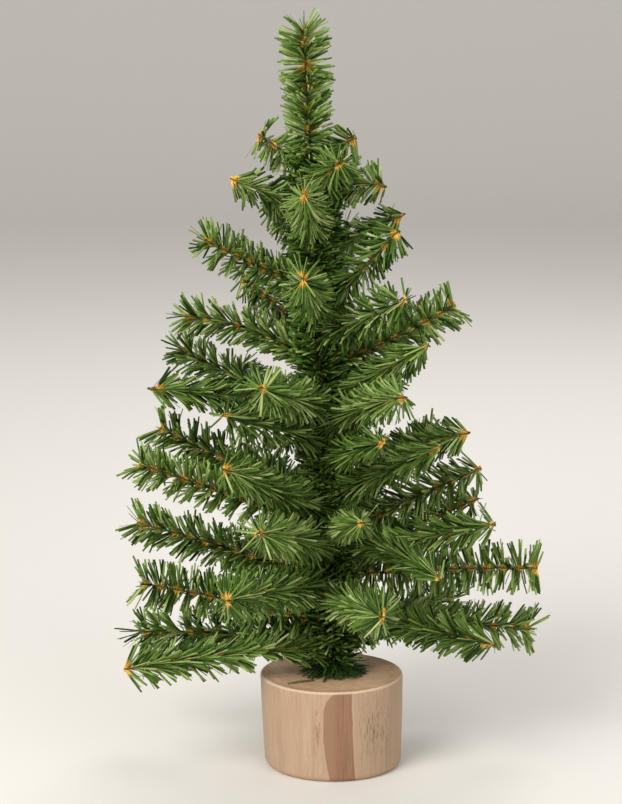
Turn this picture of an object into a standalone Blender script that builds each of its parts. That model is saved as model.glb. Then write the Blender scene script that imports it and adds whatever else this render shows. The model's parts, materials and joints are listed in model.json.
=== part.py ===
"""Tabletop artificial tree on a turned wooden base.

Metres, +Z up, origin at the centre of the base's underside.  The trunk is a stem of
wound wires glued into a blind hole in the base.  A leader tops it, and separate garland
tips stand out from it all the way round.  Each tip's wire bends where it leaves the stem.
"""
import math

import bmesh
import bpy
from mathutils import Matrix, Vector

CLEARANCE = 0.0003

# Wooden base
BASE_DIAMETER = 0.0664
BASE_FOOT_DIAMETER = 0.0638
BASE_SKEW = 0.0008
BASE_HEIGHT = 0.0434
BASE_TOP_EDGE = 0.0012
BASE_FOOT_EDGE = 0.0030
HOLE_DEPTH = 0.0280
BASE_SIDES = 72
EDGE_STEPS = 4

# Wire stem
STEM_FOOT_RADIUS = 0.0024
STEM_TOP_RADIUS = 0.0014
STEM_LOBE_DEPTH = 0.0003
STEM_TWIST_PITCH = 0.0300
STEM_SIDES = 12
STEM_RINGS = 36
STEM_RUN = 0.2440
STEM_SHIFT = -0.0140
STEM_SHIFT_POWER = 1.15

# Leader, the upright end of the stem
LEADER_LENGTH = 0.0620
LEADER_RADIUS = 0.0042
LEADER_RINGS = 9

# Tuft of needles round the stem's foot
TUFT_HEIGHT = 0.0055
TUFT_RADIUS = 0.0085
TUFT_TOP_RADIUS = 0.0050
TUFT_BORE_CLEARANCE = 0.0006
TUFT_SIDES = 16

# Garland tips
TIP_REACH = 0.0980
TIP_RADIUS = 0.0032
TIP_WIRE_RADIUS = 0.0010
TIP_BARE_LENGTH = 0.0170
TIP_SIDES = 8
TIP_RINGS = 8
HINGE_STANDOFF = 0.0013
NOSE_LENGTH = 0.0009
NOSE_RADIUS = 0.00045

# Each tip, from the lowest up: how far up the stem it leaves (percent of STEM_RUN), the
# way it points (degrees from +X), its length (percent of TIP_REACH), its rise at the
# stem (degrees) and how much its rise changes towards the end (degrees).
TIP_ROWS = (
    (5.0, -159, 100, 3, -6),
    (6.0, 100, 92, 3, 0),
    (6.5, 162, 97, -1, -4),
    (7.0, 48, 90, 1, -2),
    (9.5, -172, 91, 18, -6),
    (10.0, 10, 96, -3, -4),
    (12.0, -24, 80, -3, -4),
    (14.0, 130, 92, 10, -5),
    (15.0, -75, 86, 9, 0),
    (16.5, 75, 90, 10, 0),
    (17.5, -123, 85, 10, -5),
    (18.5, 172, 94, 17, -4),
    (19.0, -3, 95, 6, -6),
    (21.5, 36, 90, 14, -4),
    (22.5, -17, 80, 18, -4),
    (25.0, 112, 86, 16, 0),
    (25.0, -112, 85, 18, -2),
    (26.5, 15, 78, 24, -4),
    (27.0, -54, 83, 10, -26),
    (28.0, -80, 84, 16, 0),
    (29.0, -160, 97, 22, 0),
    (30.0, 145, 82, 18, 0),
    (31.5, 50, 82, 18, 0),
    (32.0, -123, 89, 22, 2),
    (34.0, 164, 86, 18, 5),
    (34.5, -34, 67, 28, 0),
    (39.0, 92, 78, 20, 0),
    (40.0, 0, 67, 17, -5),
    (41.5, -70, 76, 18, 0),
    (43.5, 64, 75, 20, 0),
    (45.5, -132, 69, 17, 2),
    (46.0, 128, 73, 20, 0),
    (48.5, -56, 66, 26, -12),
    (49.0, -168, 82, 21, -16),
    (50.0, 153, 79, 17, 5),
    (52.0, -34, 64, 32, 0),
    (52.0, -113, 71, 14, 5),
    (55.0, 78, 67, 22, 0),
    (57.0, 32, 63, 24, 0),
    (59.0, 5, 68, 21, 10),
    (60.0, 171, 67, 35, -34),
    (64.0, 130, 59, 25, 0),
    (65.5, -47, 58, 20, 5),
    (69.5, -98, 54, 23, 5),
    (70.5, -31, 55, 42, 5),
    (73.0, 75, 53, 27, 0),
    (74.0, -151, 62, 23, 5),
    (80.0, 118, 47, 28, 0),
    (80.5, 15, 44, 21, 5),
    (85.0, -97, 43, 27, 5),
    (87.5, -172, 40, 31, -8),
    (88.0, 65, 39, 30, 0),
    (90.5, -13, 34, 39, -55),
    (93.0, -65, 32, 25, 5),
    (96.5, 165, 27, 30, 10),
    (97.5, 10, 22, 28, 10),
)

COLOURS = {
    "turned_wood": ((0.52, 0.33, 0.19, 1.0), 0.62, 0.0),
    "stem_wire": ((0.07, 0.06, 0.03, 1.0), 0.50, 0.8),
    "needle_green": ((0.055, 0.135, 0.035, 1.0), 0.45, 0.0),
}


def clear_scene():
    for item in list(bpy.data.objects):
        bpy.data.objects.remove(item, do_unlink=True)


def material(name):
    colour, roughness, metallic = COLOURS[name]
    made = bpy.data.materials.get(name)
    if made is None:
        made = bpy.data.materials.new(name)
        made.use_nodes = True
        shader = made.node_tree.nodes["Principled BSDF"]
        shader.inputs["Base Color"].default_value = colour
        shader.inputs["Roughness"].default_value = roughness
        shader.inputs["Metallic"].default_value = metallic
    return made


def add_object(name, shape, material_name, matrix=None):
    """Make one closed solid from a bmesh whose points lie in the object's own space."""
    bmesh.ops.recalc_face_normals(shape, faces=shape.faces)
    mesh = bpy.data.meshes.new(name)
    shape.to_mesh(mesh)
    shape.free()
    mesh.materials.append(material(material_name))
    item = bpy.data.objects.new(name, mesh)
    bpy.context.scene.collection.objects.link(item)
    if matrix is not None:
        item.matrix_world = matrix
    return item


def bridge(shape, lower, upper):
    """Join two rings of the same number of points with a band of faces."""
    count = len(lower)
    for i in range(count):
        j = (i + 1) % count
        shape.faces.new((lower[i], lower[j], upper[j], upper[i]))


def lofted_rod(rings):
    """Close a rod through rings of points, with a flat cap at each end."""
    shape = bmesh.new()
    loops = [[shape.verts.new(point) for point in ring] for ring in rings]
    for lower, upper in zip(loops, loops[1:]):
        bridge(shape, lower, upper)
    shape.faces.new(loops[0])
    shape.faces.new(loops[-1])
    return shape


def turned(profile, sides, closed):
    """Turn a profile of (radius, height) points about Z; a closed one makes a ring."""
    shape = bmesh.new()
    points = [shape.verts.new((radius, 0.0, height)) for radius, height in profile]
    edges = [shape.edges.new(pair) for pair in zip(points, points[1:])]
    if closed:
        edges.append(shape.edges.new((points[-1], points[0])))
    bmesh.ops.spin(
        shape, geom=points + edges, cent=(0, 0, 0), axis=(0, 0, 1),
        angle=math.tau, steps=sides, use_merge=True, use_duplicate=False,
    )
    bmesh.ops.remove_doubles(shape, verts=shape.verts, dist=0.00001)
    return shape


def stem_point(height):
    """Centre of the stem at a height; it leans and curves gently towards -X."""
    share = max(0.0, height - BASE_HEIGHT) / (STEM_RUN + LEADER_LENGTH)
    return Vector((STEM_SHIFT * share ** STEM_SHIFT_POWER, 0.0, height))


def stem_radius(height):
    share = min(1.0, max(0.0, height - BASE_HEIGHT) / STEM_RUN)
    return STEM_FOOT_RADIUS + (STEM_TOP_RADIUS - STEM_FOOT_RADIUS) * share


def stem_direction(height):
    step = 0.001
    return (stem_point(height + step) - stem_point(height)).normalized()


def edge_arc(centre_radius, centre_height, size, start, end):
    """Points of a rounded edge, as (radius, height), from one angle to another."""
    points = []
    for i in range(EDGE_STEPS + 1):
        angle = math.radians(start + (end - start) * i / EDGE_STEPS)
        radius = centre_radius + size * math.cos(angle)
        points.append((radius, centre_height + size * math.sin(angle)))
    return points


def build_base():
    foot = BASE_FOOT_DIAMETER / 2
    top = BASE_DIAMETER / 2
    hole = STEM_FOOT_RADIUS + CLEARANCE
    hole_floor = BASE_HEIGHT - HOLE_DEPTH
    profile = [(0.0, 0.0)]
    profile += edge_arc(foot - BASE_FOOT_EDGE, BASE_FOOT_EDGE, BASE_FOOT_EDGE, -90, 0)
    profile += edge_arc(top - BASE_TOP_EDGE, BASE_HEIGHT - BASE_TOP_EDGE, BASE_TOP_EDGE, 0, 90)
    profile += [(hole, BASE_HEIGHT), (hole, hole_floor), (0.0, hole_floor)]
    shape = turned(profile, BASE_SIDES, False)
    # The outside was cut a little askew, so its top lies to one side of its foot
    for vert in shape.verts:
        if math.hypot(vert.co.x, vert.co.y) > 2 * hole:
            vert.co.x -= BASE_SKEW * vert.co.z / BASE_HEIGHT
    return add_object("wood_base", shape, "turned_wood")


def stem_ring(height):
    """One ring of the wound wires: three rounded lobes that turn as the stem rises."""
    centre = stem_point(height)
    turn = math.tau * height / STEM_TWIST_PITCH
    points = []
    for i in range(STEM_SIDES):
        angle = math.tau * i / STEM_SIDES
        dip = STEM_LOBE_DEPTH * (0.5 - 0.5 * math.cos(3 * angle - turn))
        radius = stem_radius(height) - dip
        points.append(centre + Vector((radius * math.cos(angle), radius * math.sin(angle), 0)))
    return points


def build_stem():
    bottom = BASE_HEIGHT - HOLE_DEPTH + CLEARANCE
    top = BASE_HEIGHT + STEM_RUN - HINGE_STANDOFF
    heights = [bottom + (top - bottom) * i / STEM_RINGS for i in range(STEM_RINGS + 1)]
    return add_object("trunk_wire", lofted_rod([stem_ring(z) for z in heights]), "stem_wire")


def build_tuft():
    bore = STEM_FOOT_RADIUS + TUFT_BORE_CLEARANCE
    bottom = BASE_HEIGHT + CLEARANCE
    top = bottom + TUFT_HEIGHT
    waist = bottom + TUFT_HEIGHT / 2
    profile = [(bore, bottom), (TUFT_RADIUS, bottom), (TUFT_RADIUS, waist)]
    profile += [(TUFT_TOP_RADIUS, top), (bore, top)]
    return add_object("trunk_foot_tuft", turned(profile, TUFT_SIDES, True), "needle_green")


def tip_sections(length, full_radius, bare_length, rings):
    """Distance and radius of each ring: a nose, a bare wire, then the swelling garland."""
    sections = [(-NOSE_LENGTH, NOSE_RADIUS), (-NOSE_LENGTH / 3, TIP_WIRE_RADIUS * 0.95)]
    bare = min(bare_length, length * 0.3)
    sections.append((bare, TIP_WIRE_RADIUS))
    for i in range(1, rings):
        share = i / (rings - 1)
        swell = min(1.0, 3.2 * share) * math.sqrt(max(0.0, 1.0 - share ** 4))
        radius = TIP_WIRE_RADIUS + (full_radius - TIP_WIRE_RADIUS) * swell
        sections.append((bare + (length - bare) * share, radius))
    return sections


def arc_point(distance, length, rise, curl):
    """Point and slope on a tip's centreline, in its own upright plane (X out, Z up)."""
    start = math.radians(rise)
    turn = math.radians(curl)
    slope = start + turn * max(0.0, distance) / length
    if abs(turn) < 1e-6 or distance <= 0:
        return Vector((distance * math.cos(start), 0, distance * math.sin(start))), slope
    radius = length / turn
    across = radius * (math.sin(slope) - math.sin(start))
    up = radius * (math.cos(start) - math.cos(slope))
    return Vector((across, 0, up)), slope


def tip_rings(sections, length, rise, curl):
    rings = []
    for distance, radius in sections:
        centre, slope = arc_point(distance, length, rise, curl)
        upward = Vector((-math.sin(slope), 0, math.cos(slope)))
        ring = []
        for i in range(TIP_SIDES):
            angle = math.tau * i / TIP_SIDES
            side = Vector((0, math.cos(angle), 0))
            ring.append(centre + radius * (side + upward * math.sin(angle)))
        rings.append(ring)
    return rings


def build_tip(name, row):
    """One garland tip; its origin is the bend at its root, its own Y is the bend's axis."""
    height_percent, azimuth, length_percent, rise, curl = row
    height = BASE_HEIGHT + STEM_RUN * height_percent / 100
    length = TIP_REACH * length_percent / 100
    angle = math.radians(azimuth)
    outward = Vector((math.cos(angle), math.sin(angle), 0))
    root = stem_point(height) + outward * (stem_radius(height) + HINGE_STANDOFF)
    sections = tip_sections(length, TIP_RADIUS, TIP_BARE_LENGTH, TIP_RINGS)
    shape = lofted_rod(tip_rings(sections, length, rise, curl))
    matrix = Matrix.Translation(root) @ Matrix.Rotation(angle, 4, "Z")
    return add_object(name, shape, "needle_green", matrix)


def build_leader():
    """The upright leader; its origin is the bend at the stem's top."""
    foot = BASE_HEIGHT + STEM_RUN
    direction = stem_direction(foot)
    rise = math.degrees(math.asin(direction.z))
    sections = tip_sections(LEADER_LENGTH, LEADER_RADIUS, 0.006, LEADER_RINGS)
    shape = lofted_rod(tip_rings(sections, LEADER_LENGTH, rise, 0.0))
    matrix = Matrix.Translation(stem_point(foot)) @ Matrix.Rotation(math.pi, 4, "Z")
    return add_object("leader_tip", shape, "needle_green", matrix)


def main():
    clear_scene()
    build_base()
    build_stem()
    build_tuft()
    for number, row in enumerate(TIP_ROWS, start=1):
        build_tip(f"garland_tip_{number:02d}", row)
    build_leader()


main()
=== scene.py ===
"""Looks of the tabletop artificial tree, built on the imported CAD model.

Every garland, the leader and the stem get wires and slit-film needles of their own that
ride on the CAD bodies, and the base gets a finely turned shape with real wood grain.
Sizes are in metres.  Places come from the CAD nodes and joints.
"""
import json
import math

import bpy
import numpy as np
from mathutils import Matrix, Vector


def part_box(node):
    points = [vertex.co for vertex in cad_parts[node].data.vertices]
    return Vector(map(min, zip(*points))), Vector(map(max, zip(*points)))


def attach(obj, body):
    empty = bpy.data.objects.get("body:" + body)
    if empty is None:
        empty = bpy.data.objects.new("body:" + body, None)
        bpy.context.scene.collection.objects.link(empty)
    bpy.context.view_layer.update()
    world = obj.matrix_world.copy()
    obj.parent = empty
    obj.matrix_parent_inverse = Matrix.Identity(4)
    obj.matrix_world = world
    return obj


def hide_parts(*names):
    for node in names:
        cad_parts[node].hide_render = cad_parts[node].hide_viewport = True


MM = 0.001
TAU = math.tau

# Slit film: its needles and the unslit band between the wires
NEEDLE_WIDTH = 1.05 * MM
NEEDLE_THICKNESS = 0.16 * MM
NEEDLE_LENGTH = 12.5 * MM
NEEDLE_SPACING = 1.00 * MM
BAND_HALF_WIDTH = 1.2 * MM
BAND_THICKNESS = 0.35 * MM
BAND_STEPS_PER_TURN = 14
TWIST_PITCH = 15.0 * MM
LAYER_SPREAD = 15.0
LAYER_TONES = (0.12, -0.15, 0.06)

# How far the twist and the lean wander (degrees), and how often along the garland
WANDER_STEP = 5.0 * MM
TWIST_WANDER = 15.0
LEAN_WANDER = 8.0

# Lengths of garland are bound to the stem either way round, so in most tips the needles lean
# back to the stem and in some they lean out to the end: one angle for each tip in turn
TIP_LEANS = (
    -45, -35, 33, 25, 18, 25, -40, -30, -30, 30, -20, 28, -4, -40,
    -45, 20, -28, -35, -52, -55, 28, -35, 30, -42, 22, -45, -30, -38,
    -58, 25, -28, -40, -35, -45, 30, -50, -12, -20, 30, 18, 36, -35,
    -18, -15, -30, 25, 30, -30, -52, -15, -33, 20, -25, -12, -15, -22,
)

# Where a needle's cross-sections lie along it, and their width there
NEEDLE_STATIONS = np.array([0.0, 0.35, 0.70, 1.0])
NEEDLE_TAPER = np.array([0.70, 1.0, 1.0, 0.85])

# A tip's wires: how far they start behind the hinge and stop short of the solid's end
WIRE_RADIUS = 0.28 * MM
WIRE_SIDES = 6
WIRE_STEPS_PER_TURN = 10
WIRE_START = -0.8 * MM
WIRE_END_BACK = 0.5 * MM
WIRE_END_BACK_OUTWARD = 2.0 * MM
BARE_ROOT = 2.5 * MM

# Near a garland's end the needles turn outward by this many degrees and show more brown
END_STRETCH = 6.0 * MM
END_SPREAD = 12.0
END_BROWN = 1.3

# Room kept over the base's top, with a slope a little steeper than the low tips can droop
BASE_GAP = 0.8 * MM
BASE_MARGIN = 6.0 * MM
DROOP_SLOPE = math.tan(math.radians(17))
SHORTEST_SHARE = 0.15

# The stem: three wires, and the dark needles wound on to them
STEM_RADIUS = 2.4 * MM
STEM_STRANDS = 3
STRAND_RADIUS = 0.95 * MM
STRAND_PITCH = 30.0 * MM
SLEEVE_START = 5.0 * MM
SLEEVE_END_BACK = 2.0 * MM
SLEEVE_NEEDLE_LENGTH = 14.0 * MM
SLEEVE_PITCH = 11.0 * MM

TUFT_NEEDLES = 260
TUFT_NEEDLE_LENGTH = 14.5 * MM

LEADER_NEEDLE_LENGTH = 12.5 * MM
LEADER_PITCH = 19.0 * MM
LEADER_START = -4.0 * MM
LEADER_END_BACK = 9.0 * MM

# The base inside its CAD box: edges, the shallow dish in its top, and the stem's hole
FOOT_INSET = 1.3 * MM
FOOT_EDGE = 3.0 * MM
RIM_EDGE = 1.3 * MM
DISH_DEPTH = 0.25 * MM
HOLE_CLEARANCE = 0.5 * MM
HOLE_DEPTH = 8.0 * MM
CENTRE_RING = 0.5 * MM
BASE_SIDES = 192

# Marks in the wood, as places across the front: dashes, the heartwood streak and the pith
DASHES_LEFT = -7.2 * MM
DASHES_RIGHT = 19.0 * MM
HEART_LEFT = -4.9 * MM
HEART_RIGHT = 9.1 * MM
HEART_TOP_BOW = 5.8 * MM
HEART_FOOT_BOW = 3.2 * MM
HEART_RIGHT_SLANT = -0.9 * MM
HEART_BLUR = 0.35 * MM
HEART_WOBBLE = 1.2 * MM
PITH = (18.0 * MM, 30.0 * MM)
RING_PITCH = 2.6 * MM
RING_WARP = 3.0 * MM

# The loose needle on the base's top
FALLEN_START = (-21.0 * MM, -19.6 * MM)
FALLEN_END = (-9.0 * MM, -14.6 * MM)
FALLEN_HEIGHT = 0.38 * MM

CAMERA_PLACE = (-10.3 * MM, -1.122, 0.3835)
CAMERA_DIP = 10.7
CAMERA_LENS = 111.8
CAMERA_SENSOR = 36.0


# ---------------------------------------------------------------- paths

class Path:
    """A smooth line through space with a frame carried along it."""

    def __init__(self, points, up):
        self.points = np.asarray(points, float)
        steps = np.linalg.norm(np.diff(self.points, axis=0), axis=1)
        self.distance = np.concatenate([[0.0], np.cumsum(steps)])
        self.length = self.distance[-1]
        tangent = np.gradient(self.points, self.distance, axis=0)
        self.tangent = tangent / np.linalg.norm(tangent, axis=1)[:, None]
        normal = up - self.tangent * (self.tangent @ up)[:, None]
        self.normal = normal / np.linalg.norm(normal, axis=1)[:, None]

    def at(self, distance):
        """Point, tangent, normal and side vectors at distances along the line."""
        found = []
        for rows in (self.points, self.tangent, self.normal):
            columns = [np.interp(distance, self.distance, rows[:, k]) for k in range(3)]
            found.append(np.stack(columns, axis=-1))
        point, tangent, normal = found
        beyond = np.asarray(distance) - np.clip(distance, 0.0, self.length)
        point = point + tangent * beyond[..., None]
        return point, tangent, normal, np.cross(tangent, normal)


def node_points(node):
    mesh = frame["nodes"][node].data
    flat = np.zeros(len(mesh.vertices) * 3, np.float32)
    mesh.vertices.foreach_get("co", flat)
    return flat.reshape(-1, 3).astype(float)


def fitted_path(node, root, along, up):
    """The centreline of a slim CAD solid, from the bend at its root to its end."""
    offsets = node_points(node) - root
    across = offsets @ along
    rise = offsets @ up
    curve = np.polynomial.Polynomial.fit(across, rise, 3)
    reach = np.linspace(0.0, across.max(), 60)
    lift = curve(reach) - curve(0.0)
    return Path(root + reach[:, None] * along + lift[:, None] * up, up)


# ---------------------------------------------------------------- meshes

def mesh_object(name, points, quads, materials):
    mesh = bpy.data.meshes.new(name)
    mesh.vertices.add(len(points))
    mesh.vertices.foreach_set("co", np.asarray(points, np.float32).ravel())
    count = len(quads)
    mesh.loops.add(count * 4)
    mesh.loops.foreach_set("vertex_index", np.asarray(quads, np.int32).ravel())
    mesh.polygons.add(count)
    mesh.polygons.foreach_set("loop_start", np.arange(count, dtype=np.int32) * 4)
    mesh.polygons.foreach_set("loop_total", np.full(count, 4, np.int32))
    mesh.update(calc_edges=True)
    mesh.validate()
    for item in materials:
        mesh.materials.append(item)
    made = bpy.data.objects.new(name, mesh)
    bpy.context.scene.collection.objects.link(made)
    return made


def point_attribute(item, name, values):
    layer = item.data.attributes.new(name, "FLOAT", "POINT")
    layer.data.foreach_set("value", np.asarray(values, np.float32))


def ring_quads(rings, sides, first=0):
    """Quads that join rings of points into a tube; its ends are closed with a fan of quads."""
    quads = []
    for ring in range(rings - 1):
        for side in range(sides):
            after = (side + 1) % sides
            low = first + ring * sides
            quads.append((low + side, low + after, low + sides + after, low + sides + side))
    for low, flip in ((first, True), (first + (rings - 1) * sides, False)):
        for side in range(1, sides - 1, 2):
            cap = (low, low + side, low + side + 1, low + side + 2 if side + 2 < sides else low)
            quads.append(cap[::-1] if flip else cap)
    return quads


def tube_along(path, start, end, offset, phase, radius, pitch):
    """A wire wound round a path; returns its points and quads."""
    turns = max(0.5, (end - start) / pitch)
    rings = int(turns * WIRE_STEPS_PER_TURN) + 2
    distance = np.linspace(start, end, rings)
    point, tangent, normal, side = path.at(distance)
    wind = TAU * distance / pitch + phase
    centre = point + offset * (np.cos(wind)[:, None] * normal + np.sin(wind)[:, None] * side)
    around = TAU * np.arange(WIRE_SIDES) / WIRE_SIDES
    spoke = np.cos(around)[None, :, None] * normal[:, None] + np.sin(around)[None, :, None] * side[:, None]
    points = (centre[:, None] + radius * spoke).reshape(-1, 3)
    return points, ring_quads(rings, WIRE_SIDES)


def join_shapes(shapes):
    points = []
    quads = []
    total = 0
    for shape_points, shape_quads in shapes:
        points.append(shape_points)
        quads.append(np.asarray(shape_quads) + total)
        total += len(shape_points)
    return np.vstack(points), np.vstack(quads)


def wound_wires(name, path, start, end, count, radius, pitch, material):
    offset = radius / math.sin(math.pi / count)
    shapes = []
    for strand in range(count):
        phase = TAU * strand / count + math.pi / 2
        shapes.append(tube_along(path, start, end, offset, phase, radius, pitch))
    points, quads = join_shapes(shapes)
    item = mesh_object(name, points, quads, [material])
    item.data.shade_smooth()
    return item


# ---------------------------------------------------------------- needles

def needle_quads():
    """Corner numbers of one needle's 14 faces: three bands of four sides and two ends."""
    quads = []
    for ring in range(len(NEEDLE_STATIONS) - 1):
        for side in range(4):
            after = (side + 1) % 4
            low = ring * 4
            quads.append((low + side, low + after, low + 4 + after, low + 4 + side))
    last = (len(NEEDLE_STATIONS) - 1) * 4
    quads.append((3, 2, 1, 0))
    quads.append((last, last + 1, last + 2, last + 3))
    return np.array(quads)


def needle_map():
    """Where one needle's face corners lie in its own unit cell of the bake map."""
    across = np.array([0.03, 0.42, 0.50, 0.89, 0.97])
    up = 0.03 + 0.87 * NEEDLE_STATIONS
    corners = []
    for ring in range(len(NEEDLE_STATIONS) - 1):
        for side in range(4):
            left, right = across[side], across[side + 1]
            corners += [(left, up[ring]), (right, up[ring]), (right, up[ring + 1]), (left, up[ring + 1])]
    for left in (0.05, 0.55):
        corners += [(left, 0.93), (left + 0.35, 0.93), (left + 0.35, 0.98), (left, 0.98)]
    return np.array(corners)


class Needles:
    """Needles gathered for one piece: each has a root, a direction, a width and a tone."""

    def __init__(self):
        self.parts = []

    def add(self, root, direction, flat, length, bend, tone, width, brown=1.0):
        """bend is the sideways drift as a share of the length; brown scales the brown root."""
        count = len(root)
        numbers = [np.broadcast_to(value, count) for value in (length, bend, tone, width, brown)]
        self.parts.append((root, direction, flat, *numbers))

    def build(self, name, material, band=None):
        root, direction, flat, length, bend, tone, width, brown = (
            np.concatenate(column) for column in zip(*self.parts)
        )
        count = len(root)
        stations = NEEDLE_STATIONS
        face = np.cross(direction, flat)
        along = length[:, None] * stations[None, :]
        curve = (bend * length)[:, None] * stations[None, :] ** 2
        centre = root[:, None] + along[..., None] * direction[:, None] + curve[..., None] * face[:, None]
        half = 0.5 * width[:, None] * NEEDLE_TAPER[None, :]
        signs = np.array([(-1, -1), (1, -1), (1, 1), (-1, 1)])
        corners = (
            centre[:, :, None]
            + signs[None, None, :, 0, None] * half[:, :, None, None] * flat[:, None, None]
            + signs[None, None, :, 1, None] * 0.5 * NEEDLE_THICKNESS * face[:, None, None]
        )
        per_needle = 4 * len(stations)
        points = corners.reshape(-1, 3)
        quads = (needle_quads()[None] + (np.arange(count) * per_needle)[:, None, None]).reshape(-1, 4)
        from_wire = np.repeat((along / brown[:, None]).reshape(-1), 4)
        tones = np.repeat(tone, per_needle)
        cells = int(math.ceil(math.sqrt(count * 1.06)))
        column, row = np.arange(count) % cells, np.arange(count) // cells
        map_points = (needle_map()[None] + np.stack([column, row], 1)[:, None]) / cells
        map_points = map_points.reshape(-1, 2)
        if band is not None:
            band_points, band_quads, band_from_wire = band
            quads = np.vstack([quads, np.asarray(band_quads) + len(points)])
            points = np.vstack([points, band_points])
            from_wire = np.concatenate([from_wire, band_from_wire])
            tones = np.concatenate([tones, np.full(len(band_points), 0.25)])
            top = (row.max() + 1) / cells
            map_points = np.vstack([map_points, band_map(len(band_quads), top)])
        item = mesh_object(name, points, quads, [material])
        point_attribute(item, "from_wire", from_wire)
        point_attribute(item, "tone", tones)
        layer = item.data.uv_layers.new(name="OFBake")
        layer.data.foreach_set("uv", map_points.astype(np.float32).ravel())
        return item


def band_map(count, top):
    """The band's faces, side by side in the strip of the map above the needles."""
    width = 1.0 / count
    height = max(0.01, min(0.05, 0.995 - top))
    corners = []
    for face in range(count):
        left = face * width
        corners += [(left + 0.1 * width, top), (left + 0.9 * width, top)]
        corners += [(left + 0.9 * width, top + height), (left + 0.1 * width, top + height)]
    return np.array(corners)


def film_band(path, start, end, pitch, phase):
    """The unslit middle of the film, twisted between the wires."""
    rings = max(6, int((end - start) / pitch * BAND_STEPS_PER_TURN))
    distance = np.linspace(start, end, rings)
    point, tangent, normal, side = path.at(distance)
    wind = (TAU * distance / pitch + phase)[:, None]
    flat = np.cos(wind) * normal + np.sin(wind) * side
    face = np.cross(tangent, flat)
    corners = []
    for across, through in ((-1, -1), (1, -1), (1, 1), (-1, 1)):
        corners.append(point + across * BAND_HALF_WIDTH * flat + through * BAND_THICKNESS / 2 * face)
    points = np.stack(corners, axis=1).reshape(-1, 3)
    green = 1 - brown_pulse(distance, pitch, phase)
    return points, ring_quads(rings, 4), np.repeat(3 * MM * green, 4)


def garland(name, path, seed, material, start, end, lean, length=NEEDLE_LENGTH, layers=3,
            pitch=TWIST_PITCH, tone=0.0, waver=1.0, fan=LAYER_SPREAD, brown_share=1.0,
            crown=0.0):
    """Needles of slit film twisted round a path, in fans that turn as they go along it.

    lean is the angle from square to the path: positive to its end, negative to its root.
    fan is the angle between one layer of needles and the next; brown_share scales the brown spots;
    crown is how much further the needles at the very end turn to point along the path.
    """
    rng = np.random.default_rng(seed)
    phase = rng.uniform(0, TAU)
    knots = np.arange(start - 2 * WANDER_STEP, end + 2 * WANDER_STEP, WANDER_STEP)
    wind_waver = rng.normal(0, math.radians(TWIST_WANDER) * waver, len(knots))
    lean_waver = rng.normal(0, LEAN_WANDER * waver, len(knots))
    brown_waver = rng.uniform(0.4, 1.5, len(knots))
    needles = Needles()
    for layer in range(layers):
        for arm in (0, 1):
            count = int((end - start) / NEEDLE_SPACING)
            distance = start + NEEDLE_SPACING * (np.arange(count) + rng.uniform(0.2, 0.8, count))
            spread = math.radians(fan) * (layer - (layers - 1) / 2)
            wind = TAU * distance / pitch + phase + math.pi * arm + spread
            wind = wind + rng.normal(0, math.radians(6), count) + np.interp(distance, knots, wind_waver)
            near_end = np.clip((distance - (end - END_STRETCH)) / END_STRETCH, 0, 1)
            tilt = lean + np.interp(distance, knots, lean_waver) + rng.normal(0, 8.0, count)
            tilt = np.clip(tilt + END_SPREAD * near_end ** 2, lean - 35, lean + 16)
            tilt = tilt + crown * near_end ** 2 * rng.uniform(0, 1, count)
            direction, flat, radial, point = leaned(path, distance, wind, np.radians(tilt))
            turn = rng.normal(0, math.radians(38), count)[:, None]
            flat = flat * np.cos(turn) + np.cross(direction, flat) * np.sin(turn)
            reach = length * rng.uniform(0.84, 1.06, count)
            reach = reach * room_over_base(point, direction, reach)
            own_tone = 0.485 + tone + rng.normal(0, 0.19, count) + LAYER_TONES[layer % len(LAYER_TONES)]
            bend = rng.normal(0.02, 0.06, count)
            width = NEEDLE_WIDTH * rng.uniform(0.82, 1.10, count)
            brown = brown_pulse(distance, pitch, phase) * np.interp(distance, knots, brown_waver)
            brown = 0.1 + brown_share * brown + END_BROWN * near_end
            needles.add(point + radial * 0.4 * MM, direction, flat, reach, bend, own_tone, width, brown)
    add_strays(needles, path, rng, start, end, length)
    band = film_band(path, start, end, pitch, phase)
    return needles.build(name, material, band)


def room_over_base(root, direction, reach):
    """How much of each needle to keep, so that a drooping tip still clears the base's top."""
    end = root + direction * reach[:, None]
    out = np.hypot(end[:, 0], end[:, 1])
    lowest = base_height + BASE_GAP + DROOP_SLOPE * out
    over_base = out < base_radius + BASE_MARGIN
    fall = np.maximum(root[:, 2] - end[:, 2], 0.01 * MM)
    keep = np.clip((root[:, 2] - lowest) / fall, SHORTEST_SHARE, 1.0)
    return np.where(over_base & (end[:, 2] < lowest), keep, 1.0)


def brown_pulse(distance, pitch, phase):
    """The brown film shows once in each half turn of the wires."""
    return (0.5 + 0.5 * np.cos(2 * (TAU * distance / pitch + phase))) ** 1.5


def leaned(path, distance, wind, tilt):
    """Direction, width direction, outward direction and point on the path of each needle."""
    point, tangent, normal, side = path.at(distance)
    radial = np.cos(wind)[:, None] * normal + np.sin(wind)[:, None] * side
    tilt = tilt[:, None]
    direction = np.cos(tilt) * radial + np.sin(tilt) * tangent
    flat = np.cos(tilt) * tangent - np.sin(tilt) * radial
    return direction, flat, radial, point


def add_strays(needles, path, rng, start, end, length):
    """A few thin slivers at odd angles along the garland."""
    count = max(2, int((end - start) / (16 * MM)))
    distance = rng.uniform(start, end, count)
    wind = rng.uniform(0, TAU, count)
    direction, flat, radial, point = leaned(path, distance, wind, rng.uniform(-0.2, 0.7, count))
    reach = length * rng.uniform(0.5, 1.0, count)
    reach = reach * room_over_base(point, direction, reach)
    tone = rng.uniform(0.0, 0.9, count)
    needles.add(point, direction, flat, reach, rng.normal(0, 0.15, count), tone, NEEDLE_WIDTH * 0.5)


# ---------------------------------------------------------------- materials

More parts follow.
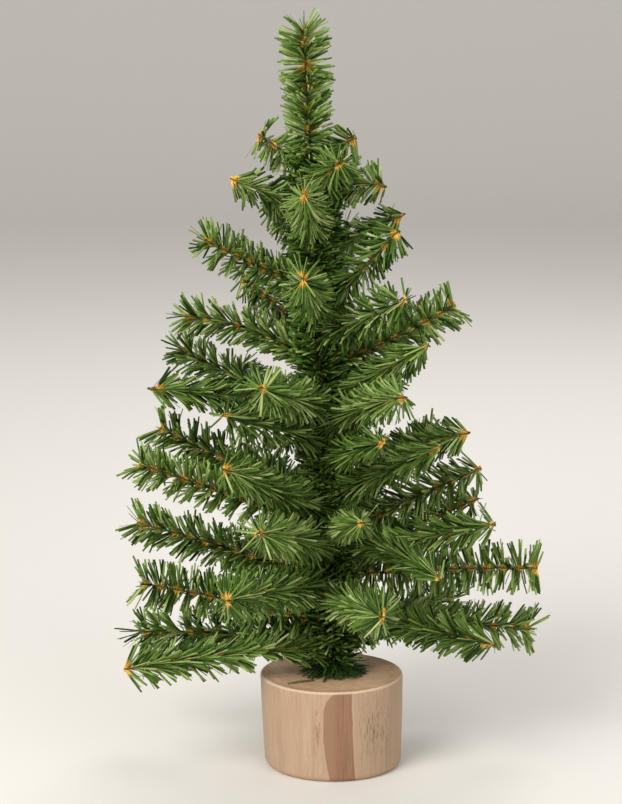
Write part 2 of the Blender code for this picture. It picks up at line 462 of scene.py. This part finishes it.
class Looks:
    """A material in the making, with short ways to add nodes and join them."""

    def __init__(self, name):
        self.material = bpy.data.materials.new(name)
        self.material.use_nodes = True
        self.nodes = self.material.node_tree.nodes
        self.shader = self.nodes["Principled BSDF"]

    def feed(self, socket, value):
        """Set a socket to a number or a colour, or link another node's output to it."""
        if isinstance(value, (int, float)):
            socket.default_value = value
        elif isinstance(value, tuple):
            socket.default_value = (*value, 1.0)
        else:
            self.material.node_tree.links.new(value, socket)

    def shade(self, **values):
        """Feed the shader's own sockets; an underscore in a name stands for a space."""
        for name, value in values.items():
            self.feed(self.shader.inputs[name.replace("_", " ")], value)

    def math(self, operation, *values, clamp=False):
        made = self.nodes.new("ShaderNodeMath")
        made.operation = operation
        made.use_clamp = clamp
        for socket, value in zip(made.inputs, values):
            self.feed(socket, value)
        return made.outputs[0]

    def mix(self, factor, first, second):
        made = self.nodes.new("ShaderNodeMix")
        made.data_type = "RGBA"
        for number, value in ((0, factor), (6, first), (7, second)):
            self.feed(made.inputs[number], value)
        return made.outputs[2]

    def ramp(self, factor, stops):
        made = self.nodes.new("ShaderNodeValToRGB")
        elements = made.color_ramp.elements
        while len(elements) < len(stops):
            elements.new(0.5)
        for element, (position, colour) in zip(elements, stops):
            element.position = position
            element.color = (*colour, 1.0)
        self.feed(made.inputs["Fac"], factor)
        return made.outputs["Color"]

    def attribute(self, name):
        made = self.nodes.new("ShaderNodeAttribute")
        made.attribute_name = name
        return made.outputs["Fac"]

    def place(self):
        """The point's place in the object's own space."""
        return self.nodes.new("ShaderNodeTexCoord").outputs["Object"]

    def split(self, vector):
        made = self.nodes.new("ShaderNodeSeparateXYZ")
        self.feed(made.inputs[0], vector)
        return made.outputs

    def noise(self, scale, detail=3.0, stretch=(1, 1, 1)):
        mapping = self.nodes.new("ShaderNodeMapping")
        mapping.inputs["Scale"].default_value = stretch
        self.feed(mapping.inputs["Vector"], self.place())
        made = self.nodes.new("ShaderNodeTexNoise")
        made.inputs["Scale"].default_value = scale
        made.inputs["Detail"].default_value = detail
        made.inputs["Roughness"].default_value = 0.55
        self.feed(made.inputs["Vector"], mapping.outputs["Vector"])
        return made.outputs["Fac"]

    def bump(self, height, strength, distance):
        made = self.nodes.new("ShaderNodeBump")
        made.inputs["Strength"].default_value = strength
        made.inputs["Distance"].default_value = distance
        self.feed(made.inputs["Height"], height)
        self.shade(Normal=made.outputs["Normal"])


def film_material():
    """Glossy slit film: brown where it crosses the wires, then shades of green."""
    looks = Looks("slit_film")
    uneven = looks.math("MULTIPLY_ADD", looks.noise(260.0, 2.0), 0.30, -0.15)
    green = looks.ramp(looks.math("ADD", looks.attribute("tone"), uneven), (
        (0.0, (0.007, 0.022, 0.002)),
        (0.25, (0.034, 0.078, 0.008)),
        (0.50, (0.112, 0.200, 0.030)),
        (0.75, (0.250, 0.360, 0.090)),
        (1.0, (0.450, 0.530, 0.220)),
    ))
    brown = looks.ramp(looks.noise(330.0, 2.0), (
        (0.3, (0.360, 0.190, 0.025)),
        (0.5, (0.720, 0.400, 0.055)),
        (0.7, (0.950, 0.600, 0.150)),
    ))
    reach = looks.math("MULTIPLY", looks.noise(420.0, 1.0), 1.8 * MM)
    past = looks.math("SUBTRACT", looks.attribute("from_wire"), reach)
    fade = looks.math("DIVIDE", past, 1.1 * MM, clamp=True)
    rough = looks.math("MULTIPLY_ADD", looks.noise(500.0, 2.0), 0.25, 0.26)
    looks.shade(Base_Color=looks.mix(fade, brown, green), Roughness=rough, Specular_IOR_Level=0.14)
    looks.bump(looks.noise(700.0, 2.0), 0.25, 0.1 * MM)
    return looks.material


def wire_material():
    """Olive lacquered wire with paler worn patches."""
    looks = Looks("garland_wire")
    colour = looks.ramp(looks.noise(300.0), ((0.35, (0.050, 0.052, 0.014)), (0.75, (0.150, 0.110, 0.035))))
    rough = looks.math("MULTIPLY_ADD", looks.noise(600.0, 2.0), 0.3, 0.35)
    looks.shade(Base_Color=colour, Metallic=0.3, Roughness=rough)
    return looks.material


def dry_material():
    """A needle that has lost its colour."""
    looks = Looks("dry_film")
    colour = looks.ramp(looks.noise(500.0), ((0.35, (0.085, 0.070, 0.020)), (0.65, (0.200, 0.160, 0.055))))
    rough = looks.math("MULTIPLY_ADD", looks.noise(700.0, 2.0), 0.3, 0.35)
    looks.shade(Base_Color=colour, Roughness=rough)
    return looks.material


def paper_material():
    """The studio's matt paper."""
    looks = Looks("studio_paper")
    looks.shade(Base_Color=(0.78, 0.76, 0.73), Roughness=0.8, Specular_IOR_Level=0.3)
    return looks.material


def wood_material(height):
    """Pale turned wood: upright grain, a dark heartwood streak in front, brown end grain made paler as painted
    light, and a painted highlight on the rim.
    """
    looks = Looks("turned_wood_grain")
    x, y, z = looks.split(looks.place())
    grain = upright_grain(looks)
    side = sapwood(looks, grain)
    side = with_dashes(looks, side, x, z, height)
    side = with_heartwood(looks, side, grain, (x, y, z), height)
    pores = looks.noise(1400.0)
    facing = looks.split(looks.nodes.new("ShaderNodeNewGeometry").outputs["Normal"])
    upright = looks.math("ABSOLUTE", facing[2])
    flatness = looks.math("DIVIDE", looks.math("SUBTRACT", upright, 0.86), 0.10, clamp=True)
    colour = looks.mix(flatness, side, end_grain_with_painted_light(looks, x, y, pores))
    # painted highlight: a paler colour on the rounded rim between top and side
    colour = with_painted_rim_highlight(looks, colour, upright, flatness, z, height)
    rough = looks.math("MULTIPLY_ADD", grain, 0.25, 0.45)
    looks.shade(Base_Color=colour, Roughness=rough, Specular_IOR_Level=0.35)
    relief = looks.math("ADD", looks.math("MULTIPLY", grain, 0.7), looks.math("MULTIPLY", pores, 0.3))
    looks.bump(relief, 0.35, 0.15 * MM)
    return looks.material


def upright_grain(looks):
    """Long fibres, broader streaks and fine speckles, in one value."""
    fibres = looks.math("MULTIPLY", looks.noise(1500.0, 3.0, (1, 1, 0.020)), 0.45)
    streaks = looks.math("MULTIPLY", looks.noise(260.0, 4.0, (1, 1, 0.06)), 0.25)
    return looks.math("MULTIPLY_ADD", looks.noise(2200.0, 2.0), 0.30, looks.math("ADD", fibres, streaks))


def sapwood(looks, grain):
    """The pale wood of the side, a little browner in patches."""
    pale = looks.ramp(grain, (
        (0.34, (0.350, 0.236, 0.152)),
        (0.50, (0.440, 0.304, 0.202)),
        (0.66, (0.520, 0.368, 0.252)),
    ))
    patches = looks.math("MULTIPLY", looks.noise(45.0, 2.0, (1, 1, 0.45)), 0.22)
    return looks.mix(patches, pale, (0.400, 0.250, 0.145))


def near(looks, place, middle, peak, fall):
    """A value that is highest at a middle place and falls off on both sides of it."""
    away = looks.math("ABSOLUTE", looks.math("SUBTRACT", place, middle))
    return looks.math("SUBTRACT", peak, looks.math("MULTIPLY", away, fall), clamp=True)


def with_dashes(looks, colour, x, z, height):
    """Short dark dashes in two upright bands of the side."""
    spots = looks.math("SUBTRACT", looks.noise(1700.0, 2.0, (1, 1, 0.12)), 0.53, clamp=True)
    dashes = looks.math("MULTIPLY", spots, 9.0, clamp=True)
    left = near(looks, x, DASHES_LEFT, 1.2, 450.0)
    right = near(looks, x, DASHES_RIGHT, 1.3, 130.0)
    halfway_up = near(looks, z, height * 0.55, 1.5, 90.0)
    bands = looks.math("MULTIPLY", looks.math("ADD", left, right, clamp=True), halfway_up)
    shown = looks.math("MULTIPLY", looks.math("MULTIPLY", bands, dashes), 0.90)
    return looks.mix(shown, colour, (0.150, 0.095, 0.048))


def with_heartwood(looks, colour, grain, place, height):
    """A dark streak in front: nearly straight on the right, bowed on the left, in two browns."""
    x, y, z = place
    half = height * 0.5
    lift = looks.math("DIVIDE", looks.math("SUBTRACT", z, half), half)
    above = looks.math("POWER", looks.math("MAXIMUM", lift, 0.0), 6.0)
    below = looks.math("POWER", looks.math("MAXIMUM", looks.math("MULTIPLY", lift, -1.0), 0.0), 1.3)
    wobble = looks.noise(120.0, 2.0, (0.2, 0.2, 1))
    wobble = looks.math("MULTIPLY_ADD", wobble, HEART_WOBBLE, -0.5 * HEART_WOBBLE)
    left = looks.math("MULTIPLY_ADD", below, HEART_FOOT_BOW, HEART_LEFT)
    left = looks.math("ADD", looks.math("MULTIPLY_ADD", above, HEART_TOP_BOW, left), wobble)
    right = looks.math("MULTIPLY_ADD", lift, HEART_RIGHT_SLANT, HEART_RIGHT)
    right = looks.math("ADD", right, wobble)
    past_left = looks.math("DIVIDE", looks.math("SUBTRACT", x, left), HEART_BLUR, clamp=True)
    before_right = looks.math("DIVIDE", looks.math("SUBTRACT", right, x), HEART_BLUR, clamp=True)
    inside = looks.math("MULTIPLY", past_left, before_right)
    inside = looks.math("MULTIPLY", inside, looks.math("LESS_THAN", y, 0.0))
    dark = looks.ramp(grain, ((0.36, (0.215, 0.108, 0.058)), (0.62, (0.320, 0.175, 0.100))))
    on_left = looks.math("DIVIDE", looks.math("SUBTRACT", 1.6 * MM, x), 1.5 * MM, clamp=True)
    heart = looks.mix(looks.math("MULTIPLY", on_left, 0.75), dark, (0.300, 0.176, 0.100))
    return looks.mix(inside, colour, heart)


def end_grain_with_painted_light(looks, x, y, pores):
    """The top and the underside: rings round a pith off to one side, in the end grain's browns made paler than the
    side's as painted light on the top, which lies in the tree's shade.
    """
    squares = []
    for value, middle in zip((x, y), PITH):
        offset = looks.math("SUBTRACT", value, middle)
        squares.append(looks.math("MULTIPLY", offset, offset))
    radius = looks.math("SQRT", looks.math("ADD", *squares))
    warped = looks.math("MULTIPLY_ADD", looks.noise(70.0), RING_WARP, radius)
    wave = looks.math("SINE", looks.math("MULTIPLY", warped, TAU / RING_PITCH))
    rings = looks.math("MULTIPLY_ADD", wave, 0.5, 0.5)
    cloud = looks.math("MULTIPLY", looks.noise(160.0, 4.0), 0.45)
    mottle = looks.math("ADD", looks.math("MULTIPLY", pores, 0.45), cloud)
    # partly painted light: these end-grain browns are raised paler than the side's to make up for the tree's shade
    # on the top
    return looks.ramp(looks.math("MULTIPLY_ADD", rings, 0.10, mottle), (
        (0.34, (0.540, 0.320, 0.180)),
        (0.50, (0.720, 0.465, 0.280)),
        (0.66, (0.850, 0.595, 0.390)),
    ))


def with_painted_rim_highlight(looks, colour, upright, flatness, z, height):
    """A painted highlight: the rounded edge between top and side is painted paler, as if it caught the light."""
    tilted = looks.math("MULTIPLY", looks.math("SUBTRACT", upright, 0.12, clamp=True), 1.3)
    edge = looks.math("MULTIPLY", tilted, looks.math("SUBTRACT", 1.0, flatness))
    edge = looks.math("MULTIPLY", edge, looks.math("GREATER_THAN", z, height * 0.5))
    return looks.mix(looks.math("MULTIPLY", edge, 1.1, clamp=True), colour, (0.760, 0.590, 0.440))


# ---------------------------------------------------------------- the base

def arc_points(radius, height, size, start, end, steps=8):
    points = []
    for i in range(steps + 1):
        angle = math.radians(start + (end - start) * i / steps)
        points.append((radius + size * math.cos(angle), height + size * math.sin(angle)))
    return points


def base_profile(rim, height, hole):
    """Radius and height up the base's outside, in over its dished top and down its hole."""
    foot = rim - FOOT_INSET
    dish = height - DISH_DEPTH
    floor = height - HOLE_DEPTH
    profile = [(CENTRE_RING, 0.0), (foot * 0.5, 0.0)]
    profile += arc_points(foot - FOOT_EDGE, FOOT_EDGE, FOOT_EDGE, -90, 0)
    profile += [(foot + 0.55 * MM, height * 0.35), (foot + 1.00 * MM, height * 0.65)]
    profile += arc_points(rim - RIM_EDGE, height - RIM_EDGE, RIM_EDGE, 0, 100)
    profile += [(rim - 2.0 * MM, dish + 0.03 * MM), (rim - 6.0 * MM, dish - 0.03 * MM)]
    profile += [(rim * 0.5, dish), (hole, dish), (hole, floor), (CENTRE_RING, floor)]
    return profile


def build_base(material):
    """The turned base, with a shallow dish inside a broken rim and a softly rounded foot."""
    low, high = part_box("wood_base")
    height = high.z
    askew = (high.x + low.x) / 2
    hole = STEM_RADIUS + HOLE_CLEARANCE
    profile = base_profile((high.x - low.x) / 2, height, hole)
    around = TAU * np.arange(BASE_SIDES) / BASE_SIDES
    wander = 1 + 0.0012 * np.sin(3 * around + 0.6) + 0.0008 * np.sin(5 * around)
    rings = []
    for radius, up in profile:
        shift = askew * up / height if radius > 2 * hole else 0.0
        x = shift + radius * wander * np.cos(around)
        y = radius * wander * np.sin(around)
        rings.append(np.stack([x, y, np.full(BASE_SIDES, up)], axis=1))
    item = mesh_object("turned_base", np.vstack(rings), ring_quads(len(profile), BASE_SIDES), [material])
    item.data.shade_smooth()
    item.data.set_sharp_from_angle(angle=math.radians(50))
    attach(item, "stand")
    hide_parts("wood_base")


def build_loose_needle(height, material):
    """One fallen needle that lies on the base's top."""
    start = np.array([*FALLEN_START, height + FALLEN_HEIGHT])
    end = np.array([*FALLEN_END, height + FALLEN_HEIGHT])
    length = np.linalg.norm(end - start)
    direction = (end - start) / length
    upright = np.array([0, 0, 1.0])
    flat = 0.75 * np.cross(upright, direction) + 0.66 * upright
    needles = Needles()
    needles.add(start[None], direction[None], flat[None], length, 0.0, 0.30, 1.1 * MM)
    item = needles.build("fallen_needle", material)
    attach(item, "stand")


# ---------------------------------------------------------------- the tree

def build_stem(film, wire):
    """Three wires wound together, and the dark needles wound on to them between the tips."""
    points = node_points("trunk_wire")
    heights = np.linspace(points[:, 2].min(), points[:, 2].max(), 60)
    lean = np.polynomial.Polynomial.fit(points[:, 2], points[:, 0], 3)
    line = np.stack([lean(heights), np.zeros(60), heights], axis=1)
    path = Path(line, np.array([1.0, 0, 0]))
    wires = wound_wires("stem_wires", path, 0.0, path.length, STEM_STRANDS, STRAND_RADIUS, STRAND_PITCH, wire)
    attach(wires, "stand")
    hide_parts("trunk_wire")
    start = base_height + SLEEVE_START - heights[0]
    end = path.length - SLEEVE_END_BACK
    sleeve = garland("stem_needles", path, 900, film, start, end, 15.0, length=SLEEVE_NEEDLE_LENGTH,
                     layers=7, pitch=SLEEVE_PITCH, tone=-0.20, fan=25.0)
    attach(sleeve, "stand")
    return path


def build_foot_tuft(path, film):
    """Needles that splay out from the stem's foot just over the base."""
    rng = np.random.default_rng(77)
    count = TUFT_NEEDLES
    low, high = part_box("trunk_foot_tuft")
    heights = rng.uniform(low.z + 1.2 * MM, high.z + 3 * MM, count)
    distance = heights - path.points[0, 2]
    point, tangent, normal, side = path.at(distance)
    wind = rng.uniform(0, TAU, count)[:, None]
    radial = np.cos(wind) * normal + np.sin(wind) * side
    drop = np.clip((heights - base_height - 1.0 * MM) / (13 * MM), 0.02, 0.5)
    tilt = np.where(rng.uniform(0, 1, count) < 0.6, -drop, rng.uniform(0.0, 0.8, count))[:, None]
    direction = np.cos(tilt) * radial + np.sin(tilt) * tangent
    flat = np.cross(direction, tangent)
    flat = flat / np.linalg.norm(flat, axis=1)[:, None]
    reach = TUFT_NEEDLE_LENGTH * rng.uniform(0.75, 1.1, count)
    bend = rng.normal(0.0, 0.04, count)
    tone = rng.normal(0.12, 0.14, count)
    needles = Needles()
    needles.add(point + radial * 1.5 * MM, direction, flat, reach, bend, tone, NEEDLE_WIDTH)
    item = needles.build("foot_tuft_needles", film)
    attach(item, "stand")
    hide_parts("trunk_foot_tuft")


def build_tip(joint, number, film, wire):
    """One garland tip on its own body: two wires and the film twisted between them."""
    body = joint["child"]
    node = frame["record"]["behaviour"]["bodies"][body][0]
    root = np.array(joint["pos_m"], float)
    axis = np.array(joint["axis"], float)
    outward = np.array([-axis[1], axis[0], 0.0])
    path = fitted_path(node, root, outward, np.array([0, 0, 1.0]))
    lean = TIP_LEANS[number - 1]
    end = path.length - (WIRE_END_BACK_OUTWARD if lean > 0 else WIRE_END_BACK)
    wires = wound_wires(node + "_wires", path, WIRE_START, end, 2, WIRE_RADIUS, TWIST_PITCH, wire)
    rng = np.random.default_rng(1000 + number)
    tone = rng.normal(0, 0.06)
    start = min(BARE_ROOT, 0.1 * path.length)
    length = NEEDLE_LENGTH * (1.04 - 0.14 * number / len(TIP_LEANS))
    needles = garland(node + "_needles", path, number, film, start, end, lean, length, tone=tone)
    for piece in (wires, needles):
        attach(piece, body)
        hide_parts(node)


def build_leader(joint, film, wire):
    """The upright end of the stem with its own garland."""
    root = np.array(joint["pos_m"], float)
    path = fitted_path("leader_tip", root, np.array([0, 0, 1.0]), np.array([1.0, 0, 0]))
    end = path.length - LEADER_END_BACK
    wires = wound_wires("leader_wires", path, WIRE_START, end, 2, WIRE_RADIUS * 1.3, TWIST_PITCH, wire)
    needles = garland("leader_needles", path, 500, film, LEADER_START, end, 10.0,
                      length=LEADER_NEEDLE_LENGTH, layers=4, pitch=LEADER_PITCH, tone=0.04,
                      waver=2.6, fan=38.0, brown_share=2.2, crown=38.0)
    for piece in (wires, needles):
        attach(piece, joint["child"])
        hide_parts("leader_tip")


# ---------------------------------------------------------------- studio

def build_paper():
    """A pale floor that sweeps up into a backdrop behind the tree."""
    front, floor_end, bend, top, side = -5.0, 2.2, 1.0, 6.0, 20.0
    steps = 12
    profile = [(front, 0.0), (floor_end, 0.0)]
    for i in range(1, steps + 1):
        angle = math.pi / 2 * i / steps
        profile.append((floor_end + bend * math.sin(angle), bend - bend * math.cos(angle)))
    profile.append((floor_end + bend, top))
    points = []
    for y, z in profile:
        points += [(-side, y, z), (side, y, z)]
    quads = [(2 * i, 2 * i + 1, 2 * i + 3, 2 * i + 2) for i in range(len(profile) - 1)]
    floor = mesh_object("studio_floor", points, quads, [paper_material()])
    floor.data.shade_smooth()


def area_light(name, place, size, power, colour):
    """A round soft light aimed at the middle of the tree."""
    light = bpy.data.lights.new(name, "AREA")
    light.shape = "DISK"
    light.size = size
    light.energy = power
    light.color = colour
    item = bpy.data.objects.new(name, light)
    bpy.context.scene.collection.objects.link(item)
    item.location = place
    middle = Vector((0, 0, 0.16))
    item.rotation_euler = (middle - Vector(place)).to_track_quat("-Z", "Y").to_euler()


def build_studio():
    """The paper, three soft lights and a plain sky."""
    build_paper()
    area_light("key_light", (-0.85, -1.20, 1.10), 1.10, 27.0, (1.0, 0.97, 0.92))
    area_light("fill_light", (1.0, -1.4, 1.0), 1.2, 8.0, (0.98, 0.98, 1.0))
    area_light("back_light", (0.3, 0.9, 1.2), 0.8, 7.0, (1.0, 0.98, 0.95))
    world = bpy.data.worlds.new("studio_sky")
    world.use_nodes = True
    sky = world.node_tree.nodes["Background"]
    sky.inputs["Color"].default_value = (1.0, 0.98, 0.95, 1.0)
    sky.inputs["Strength"].default_value = 0.52
    bpy.context.scene.world = world
    bpy.context.scene.view_settings.view_transform = "Standard"


def build_camera():
    """A long lens a little higher than the tree's top, looking slightly down."""
    camera = bpy.data.cameras.new("camera")
    camera.sensor_width = CAMERA_SENSOR
    camera.lens = CAMERA_LENS
    item = bpy.data.objects.new("camera", camera)
    bpy.context.scene.collection.objects.link(item)
    item.location = CAMERA_PLACE
    item.rotation_euler = (math.radians(90 - CAMERA_DIP), 0, 0)
    bpy.context.scene.camera = item


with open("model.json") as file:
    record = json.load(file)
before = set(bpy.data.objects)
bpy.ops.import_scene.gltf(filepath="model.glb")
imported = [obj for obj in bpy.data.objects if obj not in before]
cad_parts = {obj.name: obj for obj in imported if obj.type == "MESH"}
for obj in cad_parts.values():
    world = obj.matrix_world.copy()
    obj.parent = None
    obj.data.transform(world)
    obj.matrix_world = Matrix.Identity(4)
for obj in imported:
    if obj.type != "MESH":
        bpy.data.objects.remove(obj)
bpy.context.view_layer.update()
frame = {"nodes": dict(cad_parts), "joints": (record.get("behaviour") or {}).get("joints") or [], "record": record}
base_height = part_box("wood_base")[1].z
base_radius = -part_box("wood_base")[0].x

build_camera()
build_studio()
film = film_material()
wire = wire_material()
build_base(wood_material(base_height))
build_loose_needle(base_height, dry_material())
stem_path = build_stem(film, wire)
build_foot_tuft(stem_path, film)
for number, joint in enumerate(frame["joints"], start=1):
    if joint["child"] == "leader":
        build_leader(joint, film, wire)
    else:
        build_tip(joint, number, film, wire)
